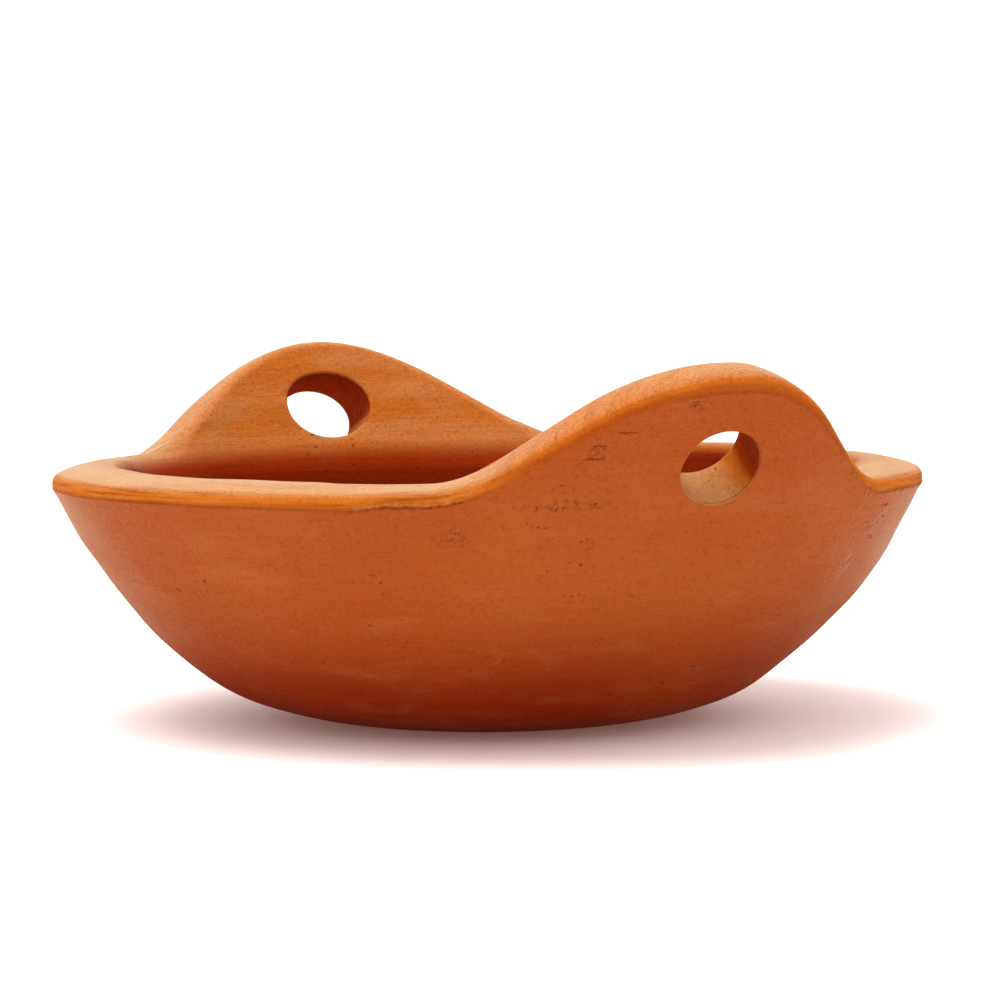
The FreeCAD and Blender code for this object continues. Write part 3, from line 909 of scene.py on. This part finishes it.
class Wear:
    """Pits and short scratches in clusters, as small cells of a texture, and the places worn by hand."""

    def __init__(self, n, at, grain, zones):
        self.n = n
        shaken = n.add("ShaderNodeTexNoise", {"Vector": at.position, "Scale": 1100.0}).outputs["Color"]
        shaken = n.vector("MULTIPLY", shaken, (2 * SPOT_DRIFT,) * 3)
        self.shaken = n.vector("ADD", at.position, shaken)
        self.worn = self.any_spot(PITTED)
        scattered = n.ramp(n.noise(at.position, 48.0, 2.0, 0.5), 0.56, 0.68, 0.0, 0.8)
        torn = n.product(zones.in_tunnel, n.ramp(grain.ridges, 0.53, 0.66, 0.0, 0.85))
        self.clusters = n.math("MAXIMUM", scattered, n.math("MAXIMUM", self.worn, torn))
        pits = self.cells(self.shaken, 700.0, 0.50, 0.42)
        scratches = self.cells(at.drawn_out(5.0), 750.0, 0.25, 0.34)
        cuts = n.math("MAXIMUM", pits, n.product(scratches, 0.8))
        self.cuts = n.math("MAXIMUM", cuts, self.any_spot(SCRATCHES))
        upright = n.vector("MULTIPLY", at.position, (1.0, 1.0, 0.12))
        streaks = n.noise(upright, 420.0)
        self.scuffed = n.product(self.any_spot(SCUFFED), n.ramp(streaks, 0.46, 0.70, 0.0, 0.12))

    def spot(self, angle, level, half_width, half_height):
        """1 in an oval on the outer surface, falling to 0 at its uneven edge."""
        size = (1 / (half_width * MM), 1 / (half_width * MM), 1 / (half_height * MM))
        centre = to_xyz(angle, outer_radius(np.array(level)), level) * MM + SPOT_DRIFT
        scaled = self.n.vector("MULTIPLY", self.shaken, size)
        centre = tuple(float(c * k) for c, k in zip(centre, size))
        distance = self.n.vector("DISTANCE", scaled, centre, output="Value")
        return self.n.ramp(distance, 0.6, 1.0, 1.0, 0.0)

    def any_spot(self, spots):
        """1 in any of several spots."""
        total = 0.0
        for where in spots:
            total = self.n.math("MAXIMUM", self.spot(*where), total)
        return total

    def cells(self, vector, scale, share, reach):
        """Small separate blots: a share of a texture's cells, each as large as its own chance allows."""
        n = self.n
        texture = n.add("ShaderNodeTexVoronoi", {"Vector": vector, "Scale": scale})
        chance = n.add("ShaderNodeSeparateXYZ", {0: texture.outputs["Color"]}).outputs[0]
        size = n.product(n.ramp(chance, 1.0 - share, 1.0, 0.0, reach), self.clusters)
        return n.ramp(n.math("SUBTRACT", size, texture.outputs["Distance"]), 0.0, 0.08)


def ground_colour(n, at, grain, zones):
    """The clay's colour by height and by which way it faces: darker towards the foot, as painted shade, and
    paler and more orange where it faces up, as painted light on the tops, weaker on one side.
    """
    # Darker towards the foot: painted shade under the bowl.
    colour = n.mix(n.ramp(at.z, 0.0, 0.046), LOW_SHADE_COLOUR, WALL_COLOUR)
    colour = n.mix(n.ramp(grain.mottle, 0.40, 0.70, 0.0, 0.50), colour, RED_COLOUR)
    colour = n.mix(n.ramp(grain.patches, 0.50, 0.80, 0.0, 0.16), colour, PALE_COLOUR)
    colour = n.mix(n.ramp(at.z, 0.060, 0.074, 0.0, 0.45), colour, RED_COLOUR)
    # More orange where the surface faces up: painted light.
    colour = n.mix(n.ramp(at.up, -0.05, 0.45, 0.0, 0.85), colour, ORANGE_COLOUR)
    bevel = n.product(zones.on_band, n.ramp(at.z, 0.066, 0.072, 0.7, 0.1))
    colour = n.mix(bevel, colour, ORANGE_COLOUR)
    # Paler where it faces up: painted light on the tops.
    lit_up_face = n.product(n.ramp(at.up, 0.45, 0.85, 0.0, 0.80), n.ramp(at.z, 0.068, 0.078, 1.0, 0.72))
    colour = n.mix(lit_up_face, colour, PALE_COLOUR)
    # Palest on what faces straight up, weaker on one side: painted light on the tops.
    lit_top = n.product(
        n.ramp(at.up, 0.80, 1.0, 0.0, 0.85),
        n.ramp(at.z, 0.067, 0.074, 1.0, 0.55),
        n.ramp(at.around_x, 0.50, 0.85, 1.0, 0.30),
    )
    return n.mix(lit_top, colour, PAINTED_LIGHT_AND_SCUFF_COLOUR)


def sheltered_colour(n, at, grain, zones, colour):
    """The lugs' inner faces with pale streaks, painted shade inside the bowl and on the finger holes' roofs
    and walls, and painted light on the finger holes' floors.
    """
    wiped = n.product(zones.inner_face, n.ramp(grain.patches, 0.42, 0.62, 0.0, 0.45))
    colour = n.mix(wiped, colour, PALE_COLOUR)
    # Deep red inside the bowl: painted shade.
    colour = n.mix(n.product(zones.inside, 0.95), colour, INSIDE_SHADE_COLOUR)
    # Deep red on the finger holes' roofs and walls, where they face down or sideways: painted shade.
    tunnel_wall_shade = n.product(zones.in_tunnel, n.ramp(at.up, 0.25, 0.55, 0.9, 0.0))
    colour = n.mix(tunnel_wall_shade, colour, INSIDE_SHADE_COLOUR)
    # Pale peach on the finger holes' floors, where they face up: painted light.
    floor = n.product(zones.in_tunnel, n.ramp(at.up, 0.6, 0.95, 0.0, 0.55))
    return n.mix(floor, colour, PAINTED_LIGHT_AND_SCUFF_COLOUR)


def line_colour(n, grain, zones, colour):
    """Throwing lines round the bowl, and the tooled lines along the rim's bevel, with painted shade in their
    grooves and a painted highlight on the ridges between.
    """
    colour = n.mix(n.ramp(grain.broad_lines, 0.45, 0.80, 0.0, 0.35), colour, RED_COLOUR)
    colour = n.mix(n.ramp(grain.fine_lines, 0.50, 0.85, 0.0, 0.22), colour, DARK_COLOUR)
    # Dark in the tooled grooves and pale on the ridges between them: painted shade and painted highlight.
    groove_shade = n.product(zones.tooled, n.ramp(grain.band_lines, 0.50, 0.66, 0.0, 0.45))
    colour = n.mix(groove_shade, colour, DARK_COLOUR)
    crest_highlight = n.product(zones.tooled, n.ramp(grain.band_lines, 0.48, 0.36, 0.0, 0.30))
    return n.mix(crest_highlight, colour, PALE_COLOUR)


def crease_colour(n, at, grain, zones, colour):
    """The crease under the rim: smoothed away in one stretch, with painted shade under it there; chipped in
    another, with a pale painted highlight above it and painted shade below it; and a dark line of painted
    shade along it elsewhere.
    """
    # Redder under the soft stretch of the crease: painted shade.
    soft_crease_shade = n.product(zones.soft_crease, zones.upper, n.ramp(at.across, 2.2, 4.4, 0.45, 0.0))
    colour = n.mix(soft_crease_shade, colour, RED_COLOUR)
    colour = n.mix(n.ramp(grain.speckle, 0.52, 0.70, 0.0, 0.28), colour, DARK_COLOUR)

    # The dark line along the crease: painted shade in the crease, fainter where it is chipped and absent
    # where it is smoothed away.
    line_middle, line_width = 0.3, 0.55
    off_line = n.math("DIVIDE", n.math("SUBTRACT", at.across, line_middle), line_width)
    on_line = n.math("EXPONENT", n.product(n.product(off_line, off_line), -1.0))
    crisp = n.math("SUBTRACT", 1.0, zones.soft_crease)
    whole = n.math("MULTIPLY_ADD", zones.chipped, -0.8, 1.0)
    colour = n.mix(n.product(on_line, crisp, whole, 0.50), colour, CREASE_SHADE_COLOUR)

    # Pale speckle just above the chipped stretch of the crease: a painted highlight on the chipped edge.
    above = n.product(n.ramp(at.across, 0.0, 0.4), n.ramp(at.across, 0.6, 1.8, 1.0, 0.0))
    above = n.product(above, n.ramp(grain.speckle, 0.44, 0.60, 0.0, 0.40))
    colour = n.mix(n.product(above, zones.chipped), colour, PALE_COLOUR)
    # Dark speckle just below the chipped crease: painted shade under it.
    below = n.product(n.ramp(at.across, -0.8, -0.3), n.ramp(at.across, -0.1, 0.1, 1.0, 0.0))
    below = n.product(below, n.ramp(grain.speckle, 0.42, 0.58, 0.15, 0.7))
    return n.mix(n.product(below, zones.chipped), colour, DARK_COLOUR)


def wear_colour(n, grain, zones, wear, colour):
    """Painted shade in the hollows between the finger holes' ridges and in the pits and scratches, grit in
    the worn places, and pale scuffs.
    """
    # Redder in the hollows between the finger holes' ridges: painted shade.
    ridge_hollow_shade = n.product(zones.in_tunnel, n.ramp(grain.ridges, 0.40, 0.52, 0.15, 0.0))
    colour = n.mix(ridge_hollow_shade, colour, RED_COLOUR)
    # Dark in the pits and scratches: painted shade in the hollows.
    colour = n.mix(n.product(wear.cuts, 0.60), colour, DARK_COLOUR)
    grit = n.product(wear.worn, n.ramp(grain.speckle, 0.46, 0.60, 0.0, 0.30))
    colour = n.mix(grit, colour, DARK_COLOUR)
    return n.mix(wear.scuffed, colour, PAINTED_LIGHT_AND_SCUFF_COLOUR)


def grain_shade(n, at, grain):
    """A brightness that the fine grain gives, stronger on what faces up and weaker in a finger hole."""
    strength = n.product(
        n.ramp(at.up, 0.3, 0.7, 0.7, 1.6),
        n.ramp(at.across, 100.0, 250.0, 1.0, 0.4),
        n.ramp(at.z, 0.066, 0.071, 0.6, 1.0),
    )
    return n.math("MULTIPLY_ADD", n.math("SUBTRACT", grain.fine, 0.5), strength, 1.0)


def relief(n, at, grain, zones, wear):
    """Height of the fine relief. Each layer comes with its share."""
    layers = [
        (grain.speckle, 1.1),
        (n.product(grain.fine, n.ramp(at.up, 0.2, 0.6, 0.35, 0.8)), 1.0),
        (grain.fine_lines, 0.5),
        (grain.broad_lines, 0.9),
        (n.product(zones.tooled, grain.band_lines), -1.6),
        (n.product(wear.worn, n.math("SUBTRACT", grain.speckle, 0.5)), 1.4),
        (n.product(zones.in_tunnel, grain.ridges), 9.0),
        (wear.cuts, -0.45),
    ]
    height = 0.0
    for layer, share in layers:
        height = n.math("MULTIPLY_ADD", layer, share, height)
    return height


def open_side(n, at, zones, wear):
    """How much dust and gloss shows: none in pits, little underneath, inside, on the bevel or in a hole."""
    return n.product(
        n.ramp(at.across, 100.0, 250.0, 1.0, 0.1),
        n.ramp(at.up, -0.85, -0.35, 0.05, 1.0),
        n.math("MULTIPLY_ADD", zones.inside, -0.9, 1.0),
        n.math("MULTIPLY_ADD", zones.on_band, -0.9, 1.0),
        n.ramp(wear.cuts, 0.0, 0.15, 1.0, 0.0),
    )


def clay(name):
    """Unglazed terracotta, with a dusty sheen that shows where a surface turns away."""
    material = bpy.data.materials.new(name)
    material.use_nodes = True
    n = Nodes(material.node_tree)
    at = Place(n)
    grain = Grain(n, at)
    zones = Zones(n, at)
    wear = Wear(n, at, grain, zones)

    colour = ground_colour(n, at, grain, zones)
    colour = sheltered_colour(n, at, grain, zones, colour)
    colour = line_colour(n, grain, zones, colour)
    colour = crease_colour(n, at, grain, zones, colour)
    colour = wear_colour(n, grain, zones, wear, colour)
    shade = grain_shade(n, at, grain)
    colour = n.add("ShaderNodeVectorMath", {0: colour, "Scale": shade}, operation="SCALE").outputs[0]

    openness = open_side(n, at, zones, wear)
    shader = n.add("ShaderNodeBsdfPrincipled")
    n.feed(shader.inputs["Base Color"], colour)
    n.feed(shader.inputs["Roughness"], n.ramp(grain.speckle, 0.3, 0.7, 0.72, 0.94))
    n.feed(shader.inputs["Normal"], n.bump(relief(n, at, grain, zones, wear), RELIEF_DEPTH))
    n.feed(shader.inputs["Specular IOR Level"], n.product(openness, 0.12))
    n.feed(shader.inputs["Sheen Weight"], n.product(openness, 0.78))
    shader.inputs["Sheen Roughness"].default_value = 0.22
    shader.inputs["Sheen Tint"].default_value = (0.9, 0.79, 0.57, 1.0)
    output = n.add("ShaderNodeOutputMaterial")
    n.feed(output.inputs["Surface"], shader.outputs["BSDF"])
    return material


# The pieces, with the CAD nodes they stand for and their material slots

PIECES = {
    "shell_clay": ("bowl_shell", "terracotta_wall"),
    "rim_clay": ("rim_band", "terracotta_rim"),
    "front_handle_clay": ("front_handle", "terracotta_handle"),
    "back_handle_clay": ("back_handle", "terracotta_handle"),
    "front_coil_clay": ("front_seam_coil", "terracotta_seam"),
    "back_coil_clay": ("back_seam_coil", "terracotta_seam"),
}
CLAYS = {f"terracotta_{part}": clay(f"{part}_clay") for part in ("wall", "rim", "handle", "seam")}

pot = build_pot()
for name, (node, slot) in PIECES.items():
    piece = pot[name]
    piece.data.materials.append(CLAYS[slot])
    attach(piece, "root")
    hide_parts(node)


# Floor, light and camera

KEY_DIRECTION = Vector((-0.25, 0.02, 1.0)).normalized()
KEY_LIGHT = 8.2
ROOM_LIGHT = 1.25
FLOOR_HALF_WIDTH = 12.0
CAMERA_PLACE = (-0.4443, -0.8854, 0.1213)
CAMERA_LENS = 139.47  # millimetres, on a sensor 36 mm wide
CAMERA_TURN = math.radians(-26.83)
CAMERA_TILT = math.radians(90 - 3.804)
CAMERA_ROLL = math.radians(-0.44)


def make_floor():
    mesh = bpy.data.meshes.new("floor")
    signs = [(-1, -1), (1, -1), (1, 1), (-1, 1)]
    corners = [(x * FLOOR_HALF_WIDTH, y * FLOOR_HALF_WIDTH, 0) for x, y in signs]
    mesh.from_pydata(corners, [], [(0, 1, 2, 3)])
    floor = bpy.data.objects.new("floor", mesh)
    bpy.context.scene.collection.objects.link(floor)
    material = bpy.data.materials.new("pale_floor")
    material.use_nodes = True
    shader = material.node_tree.nodes["Principled BSDF"]
    shader.inputs["Base Color"].default_value = (0.9, 0.89, 0.88, 1.0)
    shader.inputs["Roughness"].default_value = 0.9
    shader.inputs["Emission Color"].default_value = (1.0, 0.50, 0.42, 1.0)
    shader.inputs["Emission Strength"].default_value = 0.12
    mesh.materials.append(material)


def make_world():
    """A white room: a wide soft light overhead, a little to one side, dimmer walls, a white horizon."""
    world = bpy.data.worlds.new("studio")
    world.use_nodes = True
    n = Nodes(world.node_tree)
    direction = n.add("ShaderNodeTexCoord").outputs["Generated"]
    height = n.add("ShaderNodeSeparateXYZ", {0: direction}).outputs[2]
    towards_key = n.vector("DOT_PRODUCT", direction, KEY_DIRECTION, output="Value")
    light = n.ramp(towards_key, 0.90, 0.985, ROOM_LIGHT, KEY_LIGHT)
    light = n.math("ADD", light, n.ramp(height, 0.07, 0.13, 0.1, 0.0))
    background = n.add("ShaderNodeBackground", {"Color": (1.0, 1.0, 1.0, 1.0), "Strength": light})
    n.feed(n.add("ShaderNodeOutputWorld").inputs["Surface"], background.outputs[0])
    bpy.context.scene.world = world


def make_camera():
    data = bpy.data.cameras.new("camera")
    data.lens = CAMERA_LENS
    data.sensor_width = 36.0
    camera = bpy.data.objects.new("camera", data)
    camera.location = CAMERA_PLACE
    turn = Euler((0, 0, CAMERA_TURN)).to_matrix()
    tilt = Euler((CAMERA_TILT, 0, 0)).to_matrix()
    roll = Euler((0, 0, CAMERA_ROLL)).to_matrix()
    camera.rotation_euler = (turn @ tilt @ roll).to_euler()
    bpy.context.scene.collection.objects.link(camera)
    bpy.context.scene.camera = camera


make_floor()
make_world()
make_camera()
bpy.context.scene.view_settings.view_transform = "Standard"
